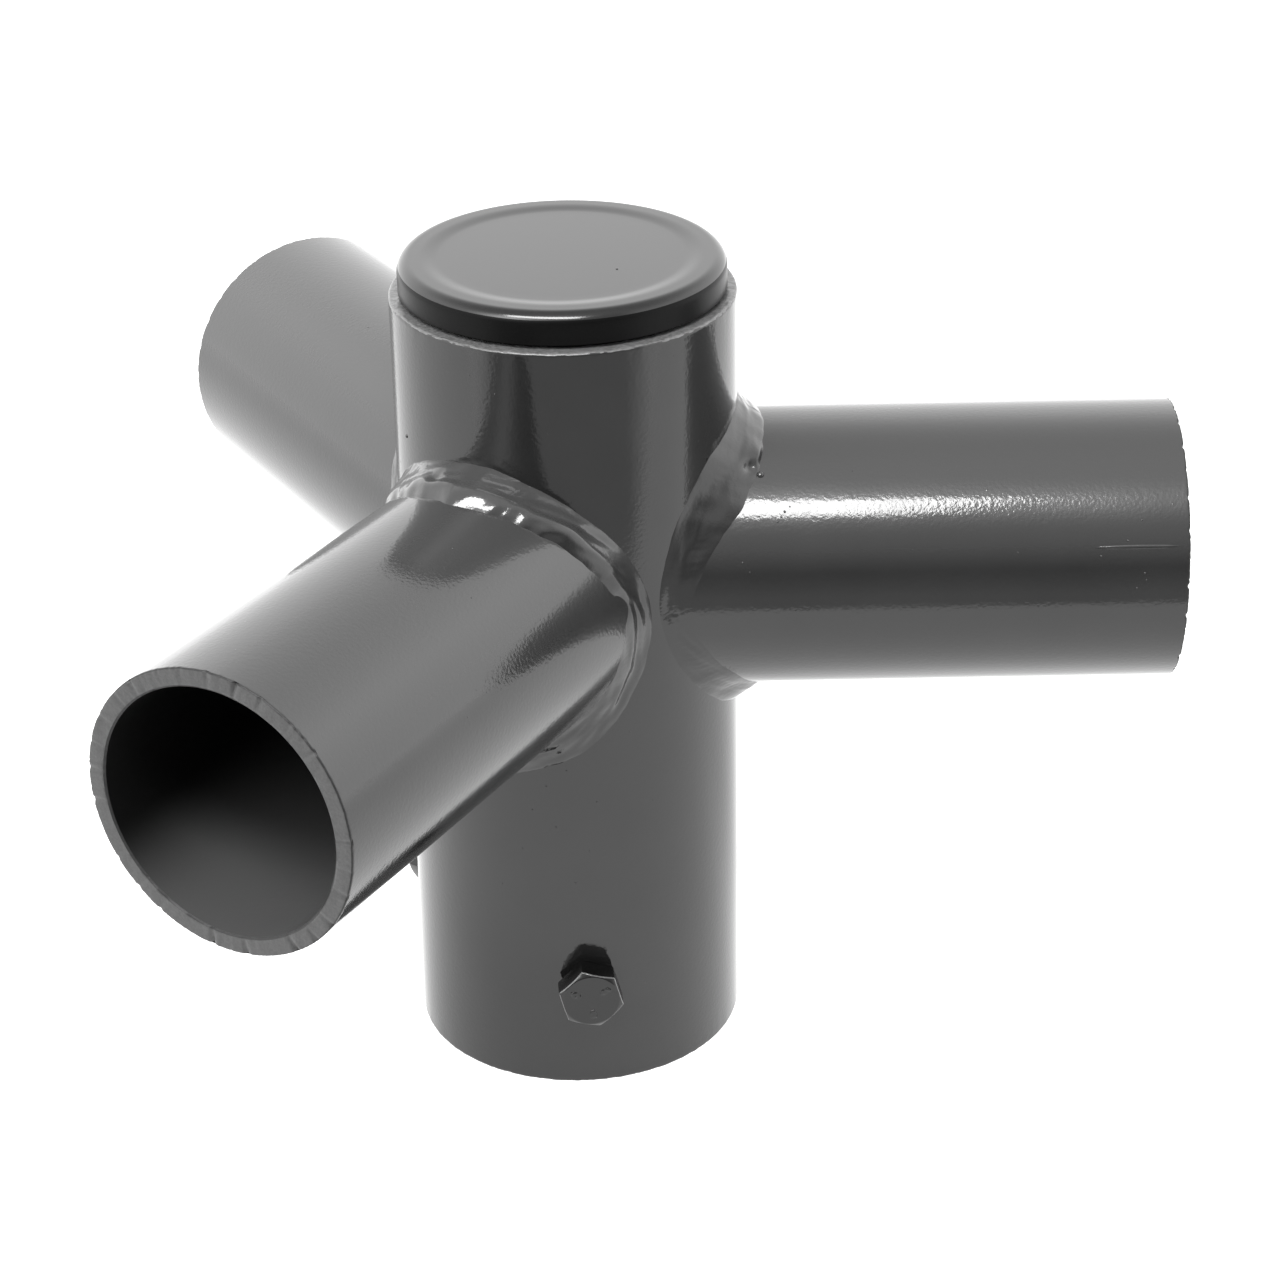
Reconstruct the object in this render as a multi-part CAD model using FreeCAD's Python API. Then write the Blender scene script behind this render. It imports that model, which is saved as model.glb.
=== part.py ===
"""Triple tenon adapter: a sleeve that slips over a pole tenon, with three welded pipe tenons.

Frame: +Z runs up the sleeve, the origin is the centre of the sleeve's open lower end, and
+X runs out along the right-hand arm. All lengths are millimetres and all angles degrees.
"""
import FreeCAD
import Part

import math
import os
from dataclasses import dataclass

# Sleeve: 2 1/2 inch pipe, which slips over a pole's 2 3/8 inch tenon
SLEEVE_OD = 73.0
SLEEVE_WALL = 5.16
SLEEVE_LENGTH = 175.5
SLEEVE_EDGE_CHAMFER = 0.5
SOCKET_DEPTH = 101.6       # the bore is reamed clean this far up for a 4 inch pole tenon
SOCKET_REAM = 0.1          # taken off the bore's wall by the reamer
SOCKET_RUN_OUT = 0.8       # length of the taper that the reamer leaves at its depth

# Arms: 2 inch pipe, each one the tenon for a fixture
ARM_OD = 60.3
ARM_WALL = 3.91
ARM_REACH = 130.2          # sleeve axis to the sawn end
ARM_HEIGHT = 115.4         # lower end of the sleeve to the arm's axis
ARM_EDGE_CHAMFER = 0.5
ARM_ROOT_BAND = 13.5       # pipe skin ground clean for the weld, from the sleeve's outside
ARM_ROOT_GRIND = 0.08      # taken off the pipe's skin in that band
ARM_ROOT_RUN_OUT = 0.8     # length of the taper from the band to the free tenon
WIRE_HOLE_DIAMETER = 31.75  # passage for the wires from the sleeve into each arm

# Weld beads round the arms' roots
BEAD_SIDE_LEG_ON_SLEEVE = 4.2
BEAD_SIDE_LEG_ON_ARM = 5.6
BEAD_CROWN_RATIO = 0.13    # rise of the bead's face over the chord between its toes
BEAD_TOE_SINK = 0.45       # the face runs on this far below both pipe surfaces
BEAD_ROOT_DEPTH = 3.0      # depth of the bead's hidden corner below the pipe surfaces
BEAD_SWELL = 0.07          # share by which the legs swell and shrink round the joint
BEAD_SWELL_COUNTS = (5, 8)  # slow and quick swells in one turn
BEAD_SECTIONS = 40

# Set screws: 5/16 inch hexagon heads, 1/4 inch long, driven in from the outside
SCREW_FRONT_AZIMUTH = -86.0
SCREW_SPACING = 126.0       # from the front screw to the one on either side of it
SCREW_HEIGHT = 25.8
SCREW_HEAD_TURNS = (44.0, 20.0, 2.0)  # how far each head is turned on its axis
SCREW_ACROSS_FLATS = 12.7
SCREW_HEAD_HEIGHT = 5.2
SCREW_FACE_RATIO = 0.95    # diameter of the flat face over the width across flats
SCREW_CHAMFER_ANGLE = 30.0
SCREW_SHANK_DIAMETER = 7.94
SCREW_SHANK_LENGTH = 6.35
SCREW_TIP_CHAMFER = 0.8
SCREW_TIP_SETBACK = 0.1    # the tips stop this far short of the reamed socket
THREAD_CLEARANCE = 0.05

# Cap: a moulded plug that closes the sleeve's upper end
CAP_FLANGE_DIAMETER = 69.0
CAP_TOP_ABOVE_RIM = 7.7
CAP_SHADOW_GAP = 1.0       # groove between the flange and the sleeve's rim
CAP_SEAT_DIAMETER = 65.6
CAP_EDGE_RADIUS = 2.6
CAP_LIP_WIDTH = 2.0        # flat lip between the rounded edge and the dished centre
CAP_DISH_RUN = 2.6
CAP_DISH_DEPTH = 0.35
CAP_SKIRT_DEPTH = 14.0
CAP_SKIRT_CLEARANCE = 0.6
CAP_SKIRT_WALL = 2.2
CAP_WEB_THICKNESS = 3.4
CAP_FIN_COUNT = 3
CAP_FIN_THICKNESS = 0.9
CAP_FIN_CLEARANCE = 0.06

SLEEVE_RADIUS = SLEEVE_OD / 2
BORE_RADIUS = SLEEVE_RADIUS - SLEEVE_WALL
SOCKET_RADIUS = BORE_RADIUS + SOCKET_REAM
ARM_RADIUS = ARM_OD / 2
ORIGIN = FreeCAD.Vector(0, 0, 0)
UP = FreeCAD.Vector(0, 0, 1)
OUTWARD = FreeCAD.Vector(1, 0, 0)


@dataclass(frozen=True)
class Arm:
    """One arm, with the leg lengths of the bead at its root above and below the pipe."""

    name: str
    azimuth: float
    top_leg_on_sleeve: float
    top_leg_on_arm: float
    bottom_leg_on_sleeve: float
    bottom_leg_on_arm: float
    swell_phase: float


ARMS = (
    Arm("right", 0.0, 6.8, 7.0, 6.4, 6.6, 0.0),
    Arm("front", -120.0, 4.4, 10.0, 7.2, 7.6, 1.1),
    Arm("back", 120.0, 5.2, 8.6, 6.8, 7.2, 2.3),
)
SECTOR_ANGLE = 360.0 / len(ARMS)


def turned(shape, azimuth):
    """Turn a shape, modelled on the +X side, to its azimuth about the sleeve's axis."""
    shape.rotate(ORIGIN, UP, azimuth)
    return shape


def segments(points):
    """Straight edges that join (radius, height) points in turn."""
    corners = [FreeCAD.Vector(radius, 0, height) for radius, height in points]
    return [Part.makeLine(start, end) for start, end in zip(corners, corners[1:])]


def arc(start, middle, end):
    """Circular edge through three (radius, height) points."""
    corners = [FreeCAD.Vector(radius, 0, height) for radius, height in (start, middle, end)]
    return Part.Arc(*corners).toShape()


def revolved(edges):
    """Revolve a closed outline, drawn in the XZ plane, about the Z axis."""
    return Part.Face(Part.Wire(edges)).revolve(ORIGIN, UP, 360)


def sleeve_envelope():
    """Solid cylinder of the sleeve's outside, to which the arms are coped."""
    return Part.makeCylinder(SLEEVE_RADIUS, SLEEVE_LENGTH)


def arm_cylinder(radius, length):
    """Cylinder along the +X arm's axis, from the sleeve's axis outwards."""
    return Part.makeCylinder(radius, length, UP * ARM_HEIGHT, OUTWARD)


def arm_envelope():
    """Outside of the +X arm: the ground root band, its run-out and the free tenon."""
    root_radius = ARM_RADIUS - ARM_ROOT_GRIND
    band_end = SLEEVE_RADIUS + ARM_ROOT_BAND
    outside = revolved(segments([
        (0, 0),
        (root_radius, 0),
        (root_radius, band_end),
        (ARM_RADIUS, band_end + ARM_ROOT_RUN_OUT),
        (ARM_RADIUS, ARM_REACH - ARM_EDGE_CHAMFER),
        (ARM_RADIUS - ARM_EDGE_CHAMFER, ARM_REACH),
        (0, ARM_REACH),
        (0, 0),
    ]))
    outside.rotate(ORIGIN, FreeCAD.Vector(0, 1, 0), 90)
    outside.translate(UP * ARM_HEIGHT)
    return outside


def arm_sector():
    """Wedge of space that belongs to the +X arm: neighbours meet on its two side planes."""
    depth = ARM_REACH + ARM_OD
    half_width = depth * math.tan(math.radians(SECTOR_ANGLE / 2))
    corners = [ORIGIN, FreeCAD.Vector(depth, -half_width, 0), FreeCAD.Vector(depth, half_width, 0)]
    return Part.Face(Part.makePolygon(corners + corners[:1])).extrude(UP * SLEEVE_LENGTH)


def screw_azimuths():
    """Directions of the set screws: the front one, then one round the sleeve on either side."""
    return [SCREW_FRONT_AZIMUTH + side * SCREW_SPACING for side in (0, 1, -1)]


def post_sleeve():
    """Sleeve with chamfered rims and a reamed socket, its wire holes and its tapped holes."""
    inset = SLEEVE_RADIUS - SLEEVE_EDGE_CHAMFER
    pipe = revolved(segments([
        (SOCKET_RADIUS, 0),
        (inset, 0),
        (SLEEVE_RADIUS, SLEEVE_EDGE_CHAMFER),
        (SLEEVE_RADIUS, SLEEVE_LENGTH - SLEEVE_EDGE_CHAMFER),
        (inset, SLEEVE_LENGTH),
        (BORE_RADIUS, SLEEVE_LENGTH),
        (BORE_RADIUS, SOCKET_DEPTH + SOCKET_RUN_OUT),
        (SOCKET_RADIUS, SOCKET_DEPTH),
        (SOCKET_RADIUS, 0),
    ]))
    for arm in ARMS:
        hole = arm_cylinder(WIRE_HOLE_DIAMETER / 2, SLEEVE_OD)
        pipe = pipe.cut(turned(hole, arm.azimuth))
    tapped_radius = SCREW_SHANK_DIAMETER / 2 + THREAD_CLEARANCE
    for azimuth in screw_azimuths():
        hole = Part.makeCylinder(tapped_radius, SLEEVE_OD, UP * SCREW_HEIGHT, OUTWARD)
        pipe = pipe.cut(turned(hole, azimuth))
    return pipe


def arm_tube(arm):
    """Arm pipe with a square sawn end and its root coped to the sleeve's outside."""
    pipe = arm_envelope().cut(arm_cylinder(ARM_RADIUS - ARM_WALL, ARM_REACH))
    pipe = pipe.common(arm_sector()).cut(sleeve_envelope())
    return turned(pipe, arm.azimuth)


def swept_leg(top, side, bottom, angle):
    """Leg length that passes smoothly from its top value to its side and bottom values."""
    mean = (top + bottom + 2 * side) / 4
    swing = (top - bottom) / 2
    squeeze = (top + bottom - 2 * side) / 4
    return mean + swing * math.cos(angle) + squeeze * math.cos(2 * angle)


def bead_section(arm, angle):
    """Closed outline of the bead at one angle round the arm, measured from its top."""
    waves = [math.sin(count * angle + arm.swell_phase) for count in BEAD_SWELL_COUNTS]
    swell = 1 + BEAD_SWELL * sum(waves) / len(waves)
    sleeve_leg = swell * swept_leg(
        arm.top_leg_on_sleeve, BEAD_SIDE_LEG_ON_SLEEVE, arm.bottom_leg_on_sleeve, angle
    )
    arm_leg = swell * swept_leg(
        arm.top_leg_on_arm, BEAD_SIDE_LEG_ON_ARM, arm.bottom_leg_on_arm, angle
    )

    # Saddle curve where the two pipes' outsides meet
    side = ARM_RADIUS * math.sin(angle)
    rise = ARM_RADIUS * math.cos(angle)
    bearing = math.asin(side / SLEEVE_RADIUS)
    saddle_x = SLEEVE_RADIUS * math.cos(bearing)

    # Toe on the sleeve, stepped off square to the saddle on the unrolled surface
    across, along = side, rise / math.cos(bearing)
    length = math.hypot(across, along)
    toe_bearing = bearing + sleeve_leg * across / length / SLEEVE_RADIUS
    toe_rise = rise + sleeve_leg * along / length
    sleeve_normal = FreeCAD.Vector(math.cos(toe_bearing), math.sin(toe_bearing), 0)
    sleeve_toe = sleeve_normal * SLEEVE_RADIUS + UP * (ARM_HEIGHT + toe_rise)

    # Toe on the arm, stepped off along the arm
    arm_normal = FreeCAD.Vector(0, math.sin(angle), math.cos(angle))
    arm_toe = arm_normal * ARM_RADIUS + OUTWARD * (saddle_x + arm_leg) + UP * ARM_HEIGHT

    outward = (sleeve_normal + arm_normal).normalize()
    chord = sleeve_toe.distanceToPoint(arm_toe)
    crown = (sleeve_toe + arm_toe) * 0.5 + outward * (BEAD_CROWN_RATIO * chord)
    saddle = FreeCAD.Vector(saddle_x, side, ARM_HEIGHT + rise)
    corner = saddle - outward * BEAD_ROOT_DEPTH
    sleeve_toe = sleeve_toe - sleeve_normal * BEAD_TOE_SINK
    arm_toe = arm_toe - arm_normal * BEAD_TOE_SINK
    face = Part.Arc(sleeve_toe, crown, arm_toe).toShape()
    return Part.Wire([face, Part.makeLine(arm_toe, corner), Part.makeLine(corner, sleeve_toe)])


def weld_bead(arm):
    """Hand-laid fillet bead round an arm's root, lofted along the saddle between the pipes."""
    angles = [math.tau * index / BEAD_SECTIONS for index in range(BEAD_SECTIONS)]
    sections = [bead_section(arm, angle) for angle in angles]
    bead = Part.makeLoft(sections, True, False, True)
    bead = bead.cut(sleeve_envelope()).cut(arm_envelope())
    bead = bead.common(arm_sector())
    return turned(bead, arm.azimuth)


def end_cap():
    """Moulded cap: flange, seat on the sleeve's rim, and a hollow finned skirt in the bore."""
    flange_radius = CAP_FLANGE_DIAMETER / 2
    seat_radius = CAP_SEAT_DIAMETER / 2
    skirt_radius = BORE_RADIUS - CAP_SKIRT_CLEARANCE
    hollow_radius = skirt_radius - CAP_SKIRT_WALL
    fin_radius = BORE_RADIUS - CAP_FIN_CLEARANCE
    rim = SLEEVE_LENGTH
    top = rim + CAP_TOP_ABOVE_RIM
    foot = rim - CAP_SKIRT_DEPTH
    ceiling = top - CAP_DISH_DEPTH - CAP_WEB_THICKNESS
    dish = top - CAP_DISH_DEPTH

    # Top face from the rounded edge inwards: flat lip, soft step and dished centre
    edge_base = (flange_radius, top - CAP_EDGE_RADIUS)
    drawn_in = CAP_EDGE_RADIUS * (1 - math.cos(math.radians(45)))
    edge_middle = (flange_radius - drawn_in, top - drawn_in)
    lip_outer = (flange_radius - CAP_EDGE_RADIUS, top)
    lip_inner = (lip_outer[0] - CAP_LIP_WIDTH, top)
    upper = [lip_outer, lip_inner, (lip_inner[0] - CAP_DISH_RUN, dish), (0, dish)]

    # Underside and skirt from the axis outwards, with the fins that grip the bore
    lower = [(0, dish), (0, ceiling), (hollow_radius, ceiling), (hollow_radius, foot)]
    lower.append((skirt_radius, foot))
    pitch = CAP_SKIRT_DEPTH / (CAP_FIN_COUNT + 1)
    for index in range(CAP_FIN_COUNT):
        base = foot + pitch * (index + 1) - CAP_FIN_THICKNESS / 2
        crest = base + CAP_FIN_THICKNESS
        lower += [(skirt_radius, base), (fin_radius, base), (fin_radius, crest), (skirt_radius, crest)]
    lower += [
        (skirt_radius, rim),
        (seat_radius, rim),
        (seat_radius, rim + CAP_SHADOW_GAP),
        (flange_radius, rim + CAP_SHADOW_GAP),
        edge_base,
    ]
    edges = segments(lower) + [arc(edge_base, edge_middle, lip_outer)] + segments(upper)
    return revolved(edges)


def hexagon_head():
    """Chamfered hexagon head standing on the XY plane, with its face upwards."""
    corner_radius = SCREW_ACROSS_FLATS / 2 / math.cos(math.radians(30))
    turns = [math.radians(60 * index) for index in range(6)]
    corners = [
        FreeCAD.Vector(corner_radius * math.cos(turn), corner_radius * math.sin(turn), 0)
        for turn in turns
    ]
    prism = Part.Face(Part.makePolygon(corners + corners[:1])).extrude(UP * SCREW_HEAD_HEIGHT)
    face_radius = SCREW_FACE_RATIO * SCREW_ACROSS_FLATS / 2
    run = SCREW_ACROSS_FLATS
    drop = run * math.tan(math.radians(SCREW_CHAMFER_ANGLE))
    cone = Part.makeCone(
        face_radius + run, face_radius, drop, UP * (SCREW_HEAD_HEIGHT - drop)
    )
    return prism.common(cone)


def set_screw(azimuth, head_turn):
    """Hexagon-head set screw whose tip stops just short of the sleeve's bore."""
    radius = SCREW_SHANK_DIAMETER / 2
    shank = revolved(segments([
        (0, 0),
        (radius - SCREW_TIP_CHAMFER, 0),
        (radius, SCREW_TIP_CHAMFER),
        (radius, SCREW_SHANK_LENGTH),
        (0, SCREW_SHANK_LENGTH),
        (0, 0),
    ]))
    head = hexagon_head()
    head.rotate(ORIGIN, UP, head_turn)
    head.translate(UP * SCREW_SHANK_LENGTH)
    screw = shank.fuse(head)
    screw.rotate(ORIGIN, FreeCAD.Vector(0, 1, 0), 90)
    screw.translate(FreeCAD.Vector(SOCKET_RADIUS + SCREW_TIP_SETBACK, 0, SCREW_HEIGHT))
    return turned(screw, azimuth)


def all_pieces():
    """Every piece of the adapter by its node name."""
    pieces = {"post_sleeve": post_sleeve(), "end_cap": end_cap()}
    for arm in ARMS:
        pieces[f"{arm.name}_arm_tube"] = arm_tube(arm)
        pieces[f"{arm.name}_weld_bead"] = weld_bead(arm)
    for index, (azimuth, turn) in enumerate(zip(screw_azimuths(), SCREW_HEAD_TURNS), start=1):
        pieces[f"set_screw_{index}"] = set_screw(azimuth, turn)
    return pieces


def main():
    """Build the pieces and write one STEP file for each."""
    os.makedirs("parts", exist_ok=True)
    for name, shape in all_pieces().items():
        shape.exportStep(f"parts/{name}.step")
        print(f"{name}: solids {len(shape.Solids)}, valid {shape.isValid()}, volume {shape.Volume:.1f} mm3")


if __name__ == "__main__":
    main()
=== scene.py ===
"""Looks of the tenon adapter: gloss enamel on pipes and weld beads, a moulded plug, set screws."""

import logging
import math
from dataclasses import dataclass
from enum import Enum
from typing import Callable

import bmesh
import bpy
from bmesh.types import BMesh, BMVert
from bpy.types import ID, Material, Mesh, Node, NodeSocket, NodeTree, Object
from mathutils import Matrix, Vector, noise


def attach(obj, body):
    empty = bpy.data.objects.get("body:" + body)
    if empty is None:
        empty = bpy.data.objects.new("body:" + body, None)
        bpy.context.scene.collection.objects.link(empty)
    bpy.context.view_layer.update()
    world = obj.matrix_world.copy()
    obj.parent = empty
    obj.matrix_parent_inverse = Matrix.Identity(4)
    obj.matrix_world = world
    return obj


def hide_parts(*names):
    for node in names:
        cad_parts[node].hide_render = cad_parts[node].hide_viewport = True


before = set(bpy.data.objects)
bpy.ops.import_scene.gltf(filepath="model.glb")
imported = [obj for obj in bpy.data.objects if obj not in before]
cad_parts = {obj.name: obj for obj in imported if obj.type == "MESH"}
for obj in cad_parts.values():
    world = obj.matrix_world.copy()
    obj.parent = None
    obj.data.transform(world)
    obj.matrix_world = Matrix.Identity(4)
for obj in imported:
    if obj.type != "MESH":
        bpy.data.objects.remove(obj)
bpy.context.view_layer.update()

LOG = logging.getLogger("tenon_adapter")
BODY = "root"


def mm(length: float) -> float:
    """Turn millimetres into metres."""
    return length / 1000.0


SLEEVE_RADIUS = mm(36.5)
BORE_RADIUS = mm(31.34)
SLEEVE_LENGTH = mm(175.5)
ARM_RADIUS = mm(30.15)
ARM_WALL = mm(3.91)
ARM_REACH = mm(130.2)
ARM_HEIGHT = mm(115.4)
WIRE_HOLE_RADIUS = mm(31.75) / 2
SCREW_HEIGHT = mm(25.8)
ARM_BORE = ARM_RADIUS - ARM_WALL
ARM_AZIMUTHS = {"right": 0.0, "front": -120.0, "back": 120.0}
SCREWS = ((-86.0, 15.0), (40.0, 20.0), (148.0, 30.0))
SAME_POINT = mm(0.0005)
Pair = tuple[float, float]
Outline = list[Pair]


class Slot(Enum):
    """The record's material slots."""

    SLEEVE = "sleeve_paint"
    ARM = "arm_paint"
    BEAD = "bead_paint"
    CAP = "cap_plastic"
    SCREW = "screw_paint"


def linear(code: str) -> tuple[float, float, float, float]:
    """Turn an sRGB hex colour into a linear one.

    Args:
        code: Six hex digits after a hash sign.

    Returns:
        Linear red, green, blue and an alpha of 1.
    """
    shares = [int(code[at:at + 2], 16) / 255.0 for at in (1, 3, 5)]
    red, green, blue = (
        share / 12.92 if share <= 0.04045 else ((share + 0.055) / 1.055) ** 2.4 for share in shares
    )
    return red, green, blue, 1.0


def add_node(
    tree: NodeTree, kind: str, inputs: dict[str | int, object], **settings: object
) -> Node:
    """Add a node with its settings, its input values and its links.

    Args:
        tree: The node tree to add to.
        kind: The node's type name.
        inputs: Values, output sockets or nodes, by input name or index. A node stands for its
            first output that is in use.
        settings: The node's own properties.

    Returns:
        The new node.
    """
    node = tree.nodes.new(kind)
    for name, value in settings.items():
        setattr(node, name, value)
    for key, value in inputs.items():
        if isinstance(value, Node):
            value = next(output for output in value.outputs if output.enabled)
        if isinstance(value, NodeSocket):
            tree.links.new(value, node.inputs[key])
        else:
            node.inputs[key].default_value = value
    return node


def blank_material(name: str) -> tuple[Material, NodeTree, NodeSocket]:
    """Make a material that holds nothing yet but the object's coordinates.

    Args:
        name: The material's name.

    Returns:
        The material, its node tree and the coordinates.
    """
    material = bpy.data.materials.new(name)
    material.use_nodes = True
    tree = material.node_tree
    tree.nodes.clear()
    return material, tree, add_node(tree, "ShaderNodeTexCoord", {}).outputs["Object"]


def cells(size_mm: float) -> float:
    """Noise scale, on coordinates in metres, for cells of a real size in millimetres."""
    return 1000.0 / size_mm


def dusted_and_top_lit(tree: NodeTree, colour: Node, dust_and_top_light: str, least: float = 0.1) -> Node:
    """Lighten a film's colour where it faces up: partly a dusting settled there, partly painted
    light falling on the tops.

    Args:
        tree: The node tree to add to.
        colour: Node that gives the clean film's colour.
        dust_and_top_light: Colour of a level face, as sRGB hex.
        least: Upward share of the normal below which the colour is not lightened.

    Returns:
        Node that gives the mixed colour.
    """
    facing = add_node(tree, "ShaderNodeNewGeometry", {}).outputs["Normal"]
    upward = add_node(tree, "ShaderNodeSeparateXYZ", {"Vector": facing}).outputs["Z"]
    share = add_node(
        tree, "ShaderNodeMapRange",
        {"Value": upward, "From Min": least, "From Max": 0.95, "To Min": 0.0, "To Max": 1.0},
        interpolation_type="SMOOTHSTEP",
    )
    mixed = {"Factor": share, "A": colour, "B": linear(dust_and_top_light)}
    return add_node(tree, "ShaderNodeMix", mixed, data_type="RGBA")


@dataclass(frozen=True)
class GlossEnamel:
    """Sprayed black gloss enamel over steel: a mirror-like film with faint orange peel and dust,
    paler where it faces up, partly as painted top light.

    The peel makes edges of reflections waver, the fine grain makes highlights sparkle where they
    fade, and single dust nibs catch the light.
    """

    name: str
    dark: str = "#101010"
    light: str = "#191919"
    # Paler colour of upward faces: a dusting in part, painted light from above in part
    dust_and_top_light: str = "#343434"
    tint_mm: float = 14.0
    peel_mm: float = 3.2
    peel_depth_mm: float = 0.006
    grain_mm: float = 0.8
    grain_depth_mm: float = 0.028
    dust_mm: float = 2.6
    dust_depth_mm: float = 0.03
    smooth: float = 0.07
    dull: float = 0.13
    ior: float = 1.5
    nib_share: float = 0.09
    clean_share: float = 0.8

    def build(self) -> Material:
        """Make the enamel's material.

        Returns:
            The finished material.
        """
        material, tree, place = blank_material(self.name)
        cloud, peel, grain = (
            add_node(
                tree, "ShaderNodeTexNoise",
                {"Vector": place, "Scale": cells(size_mm), "Detail": detail},
            )
            for size_mm, detail in ((self.tint_mm, 4.0), (self.peel_mm, 1.0), (self.grain_mm, 2.0))
        )
        tint = add_node(
            tree, "ShaderNodeMix",
            {"Factor": cloud, "A": linear(self.dark), "B": linear(self.light)}, data_type="RGBA",
        )
        gloss = add_node(
            tree, "ShaderNodeMapRange",
            {"Value": cloud, "From Min": 0.35, "From Max": 0.7,
             "To Min": self.smooth, "To Max": self.dull},
        )
        specks = add_node(
            tree, "ShaderNodeTexVoronoi", {"Vector": place, "Scale": cells(self.dust_mm)}
        )
        nib = add_node(
            tree, "ShaderNodeMapRange",
            {"Value": specks, "From Min": 0.0, "From Max": self.nib_share,
             "To Min": 1.0, "To Max": 0.0},
            interpolation_type="SMOOTHSTEP",
        )
        chosen = add_node(
            tree, "ShaderNodeMath", {0: specks.outputs["Color"], 1: self.clean_share},
            operation="GREATER_THAN",
        )
        nibs = add_node(tree, "ShaderNodeMath", {0: nib, 1: chosen}, operation="MULTIPLY")
        normal: dict[str, Node] = {}
        for height, depth_mm in (
            (peel, self.peel_depth_mm), (grain, self.grain_depth_mm), (nibs, self.dust_depth_mm)
        ):
            layer = add_node(
                tree, "ShaderNodeBump",
                {"Height": height, "Distance": mm(depth_mm), "Strength": 1.0, **normal},
            )
            normal = {"Normal": layer}
        # The base colour is paler on upward faces: a dusting in part, painted top light in part
        shader = add_node(
            tree, "ShaderNodeBsdfPrincipled",
            {"Base Color": dusted_and_top_lit(tree, tint, self.dust_and_top_light),
             "Roughness": gloss, "IOR": self.ior, **normal},
        )
        add_node(tree, "ShaderNodeOutputMaterial", {"Surface": shader})
        return material


@dataclass(frozen=True)
class RoughFilm:
    """A duller black film over a rough ground, as on sawn edges and inside the pipes."""

    name: str
    dark: str
    light: str
    grit_mm: float
    grit_depth_mm: float
    roughness: float
    specular: float = 0.5
    # If given, a paler colour for upward faces: painted light where light reaches them
    dust_and_top_light: str = ""

    def build(self) -> Material:
        """Make the rough film's material.

        Returns:
            The finished material.
        """
        material, tree, place = blank_material(self.name)
        grit = add_node(
            tree, "ShaderNodeTexNoise",
            {"Vector": place, "Scale": cells(self.grit_mm), "Detail": 5.0},
        )
        tint = add_node(
            tree, "ShaderNodeMix",
            {"Factor": grit, "A": linear(self.dark), "B": linear(self.light)},
            data_type="RGBA",
        )
        bump = add_node(
            tree, "ShaderNodeBump",
            {"Height": grit, "Distance": mm(self.grit_depth_mm), "Strength": 1.0},
        )
        # Upward faces are lightened as painted light when a paler colour is given
        colour = dusted_and_top_lit(tree, tint, self.dust_and_top_light, least=0.35) if self.dust_and_top_light else tint
        shader = add_node(
            tree, "ShaderNodeBsdfPrincipled",
            {"Base Color": colour, "Roughness": self.roughness,
             "Specular IOR Level": self.specular, "Normal": bump},
        )
        add_node(tree, "ShaderNodeOutputMaterial", {"Surface": shader})
        return material


@dataclass(frozen=True)
class Finishes:
    """Every finish on the adapter, built once."""

    enamel: Material
    bead_enamel: Material
    sawn: Material
    bore: Material
    cap_top: Material
    cap_side: Material
    screw: Material
    burr: Material
    rim: Material
    worn_edge: Material

    @classmethod
    def build(cls) -> "Finishes":
        """Make all the materials."""
        return cls(
            enamel=GlossEnamel("black_gloss_enamel").build(),
            # The film pools over the weld's ripples, so its peel is finer and its nibs are closer
            bead_enamel=GlossEnamel(
                "black_enamel_over_weld", peel_mm=1.6, peel_depth_mm=0.01, dust_mm=1.6, dull=0.12
            ).build(),
            # Saw marks under thin paint scatter the light to a pale grey
            sawn=RoughFilm("painted_saw_cut", "#161616", "#3c3c3c", 0.5, 0.05, 0.38).build(),
            # Overspray fades to oxide inside the pipes, so hardly any light comes back; the paler
            # upward faces of the lower wall are painted light, where light from the open ends falls
            bore=RoughFilm(
                "oxide_in_the_bore", "#030303", "#0a0a0a", 1.2, 0.02, 0.4, 0.4, dust_and_top_light="#3c3c3c"
            ).build(),
            # A polished mould leaves the plug's face smooth, with a broad soft sheen
            cap_top=RoughFilm(
                "moulded_polyethylene", "#0f0f0f", "#171717", 0.7, 0.0016, 0.15, 0.45
            ).build(),
            # The flange's side gets a darker, duller copy of the plastic: painted shade for where
            # it lies in the shade of the rim
            cap_side=RoughFilm(
                "moulded_polyethylene_painted_shade", "#040404", "#090909", 0.6, 0.01, 0.3, 0.08
            ).build(),
            # Black oxide under a thin film keeps the heads darker than the pipe
            screw=RoughFilm(
                "black_oxide_screw", "#030303", "#090909", 0.8, 0.012, 0.14, 0.45
            ).build(),
            # The film over the sleeve's cut rim is thin and uneven, so grit shows through pale; the
            # rim is also made paler as painted light, for the light that falls on its upward ring
            rim=RoughFilm("painted_rim_with_painted_top_light", "#1e1e1e", "#6c6c6c", 0.7, 0.09, 0.3).build(),
            # The saw left a burr that the film hardly covers, so it looks darker than the cut
            burr=RoughFilm("painted_burr", "#080808", "#262626", 0.6, 0.06, 0.45, 0.3).build(),
            # The wrench rubbed the heads' outline, so bare steel shows there; its paler grey is
            # also a painted highlight for the lamp's glint along that edge
            worn_edge=RoughFilm(
                "oxide_worn_to_steel_painted_glint", "#1c1c1c", "#6e6e6e", 0.5, 0.02, 0.2, 0.6
            ).build(),
        )


def mesh_from(bm: BMesh, name: str) -> Mesh:
    """Write a shape to a new mesh, and free it."""
    mesh = bpy.data.meshes.new(name)
    bm.to_mesh(mesh)
    bm.free()
    return mesh


def placed(name: str, data: ID) -> Object:
    """Add an object to the scene."""
    thing = bpy.data.objects.new(name, data)
    bpy.context.scene.collection.objects.link(thing)
    return thing


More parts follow.
